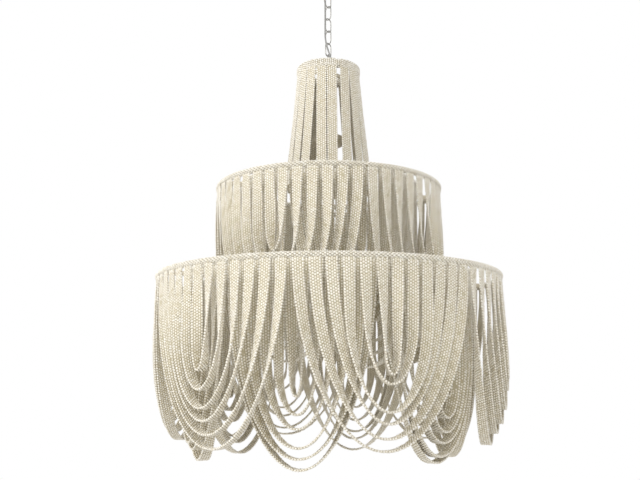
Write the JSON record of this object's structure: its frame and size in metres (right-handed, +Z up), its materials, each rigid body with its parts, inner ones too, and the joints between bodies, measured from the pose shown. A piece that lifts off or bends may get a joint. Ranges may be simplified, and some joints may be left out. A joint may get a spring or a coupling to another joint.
{
  "type": "beaded chandelier",
  "caption": "Three-tier hanging light: bead-wrapped hoops with flat bead bands in nested swags, candle lamps inside, hung from a ceiling canopy on a chain.",
  "frame": {"origin": "middle of the ceiling plate's top face, where the fixture meets the ceiling", "axes": "+Z up; -Y towards the viewer of the picture; +X to the viewer's right"},
  "size_m": [0.9226, 0.9153, 1.3498],
  "materials": {
    "beads": "matt cream paint",
    "nickel": "satin nickel plate",
    "frame": "cream paint, satin",
    "sleeve": "matt ivory",
    "black_plastic": "matt black",
    "bulb_glass": "clear glass",
    "cord": "silver-grey jacket, semi-gloss"
  },
  "bodies": {
    "ceiling": {"ceiling_plate": "nickel", "canopy": "nickel", "canopy_loop": "nickel", "collar_ring": "nickel", "cord_grommet": "black_plastic", "terminal_block": "sleeve", "supply_cord": "cord"},
    "link_1": {"chain_link_1": "nickel"},
    "link_2": {"chain_link_2": "nickel"},
    "link_3": {"chain_link_3": "nickel"},
    "link_4": {"chain_link_4": "nickel"},
    "link_5": {"chain_link_5": "nickel"},
    "fixture": {"top_loop": "nickel", "cord_gland": "black_plastic", "stem": "nickel", "finial": "nickel", "upper_hoop": "frame", "flare_hoop": "frame", "middle_hoop": "frame", "lower_hoop": "frame", "lower_inner_hoop": "frame", "middle_inner_hoop": "frame", "upper_spider": "frame", "middle_spider": "frame", "lower_spider": "frame", "wiring_canister": "frame", "lamp_cluster": "frame", "lamp_socket_1": "black_plastic", "lamp_socket_2": "black_plastic", "lamp_socket_3": "black_plastic", "lamp_socket_4": "black_plastic", "candle_sleeve_1": "sleeve", "candle_sleeve_2": "sleeve", "candle_sleeve_3": "sleeve", "candle_sleeve_4": "sleeve", "upper_fringe_1": "beads", "upper_fringe_2": "beads", "upper_fringe_3": "beads", "middle_swag_1": "beads", "middle_swag_2": "beads", "middle_swag_3": "beads", "middle_swag_4": "beads", "outer_swag_1": "beads", "outer_swag_2": "beads", "outer_swag_3": "beads", "outer_swag_4": "beads", "outer_swag_5": "beads", "outer_swag_6": "beads", "inner_swag_1": "beads", "inner_swag_2": "beads", "inner_swag_3": "beads", "middle_inner_swag_1": "beads", "middle_inner_swag_2": "beads", "middle_inner_swag_3": "beads", "middle_inner_swag_4": "beads"},
    "lamp_bulb_1": {"bulb_1": "bulb_glass"},
    "lamp_bulb_2": {"bulb_2": "bulb_glass"},
    "lamp_bulb_3": {"bulb_3": "bulb_glass"},
    "lamp_bulb_4": {"bulb_4": "bulb_glass"}
  },
  "joints": [
    {"name": "canopy_loop_swing", "type": "hinge", "parent": "ceiling", "child": "link_1", "pos_m": [0, 0, -0.0688], "axis": [-0.7071, 0.7071, 0], "range_deg": [-15, 15], "deforming": ["supply_cord"]},
    {"name": "link_1_swing", "type": "hinge", "parent": "link_1", "child": "link_2", "pos_m": [0, 0, -0.1045], "axis": [0.7071, 0.7071, 0], "range_deg": [-15, 15], "deforming": ["supply_cord"]},
    {"name": "link_2_swing", "type": "hinge", "parent": "link_2", "child": "link_3", "pos_m": [0, 0, -0.1412], "axis": [-0.7071, 0.7071, 0], "range_deg": [-15, 15], "deforming": ["supply_cord"]},
    {"name": "link_3_swing", "type": "hinge", "parent": "link_3", "child": "link_4", "pos_m": [0, 0, -0.1779], "axis": [0.7071, 0.7071, 0], "range_deg": [-15, 15], "deforming": ["supply_cord"]},
    {"name": "link_4_swing", "type": "hinge", "parent": "link_4", "child": "link_5", "pos_m": [0, 0, -0.2146], "axis": [-0.7071, 0.7071, 0], "range_deg": [-15, 15], "deforming": ["supply_cord"]},
    {"name": "fixture_swing", "type": "hinge", "parent": "link_5", "child": "fixture", "pos_m": [0, 0, -0.2513], "axis": [0.7071, 0.7071, 0], "range_deg": [-15, 15], "deforming": ["supply_cord"]},
    {"name": "bulb_1_screw", "type": "hinge", "parent": "fixture", "child": "lamp_bulb_1", "pos_m": [0.07101, -0.041, -0.8], "axis": [0, 0, 1], "range_deg": [0, 1620]},
    {"name": "bulb_2_screw", "type": "hinge", "parent": "fixture", "child": "lamp_bulb_2", "pos_m": [0.041, 0.07101, -0.8], "axis": [0, 0, 1], "range_deg": [0, 1620]},
    {"name": "bulb_3_screw", "type": "hinge", "parent": "fixture", "child": "lamp_bulb_3", "pos_m": [-0.07101, 0.041, -0.8], "axis": [0, 0, 1], "range_deg": [0, 1620]},
    {"name": "bulb_4_screw", "type": "hinge", "parent": "fixture", "child": "lamp_bulb_4", "pos_m": [-0.041, -0.07101, -0.8], "axis": [0, 0, 1], "range_deg": [0, 1620]}
  ]
}
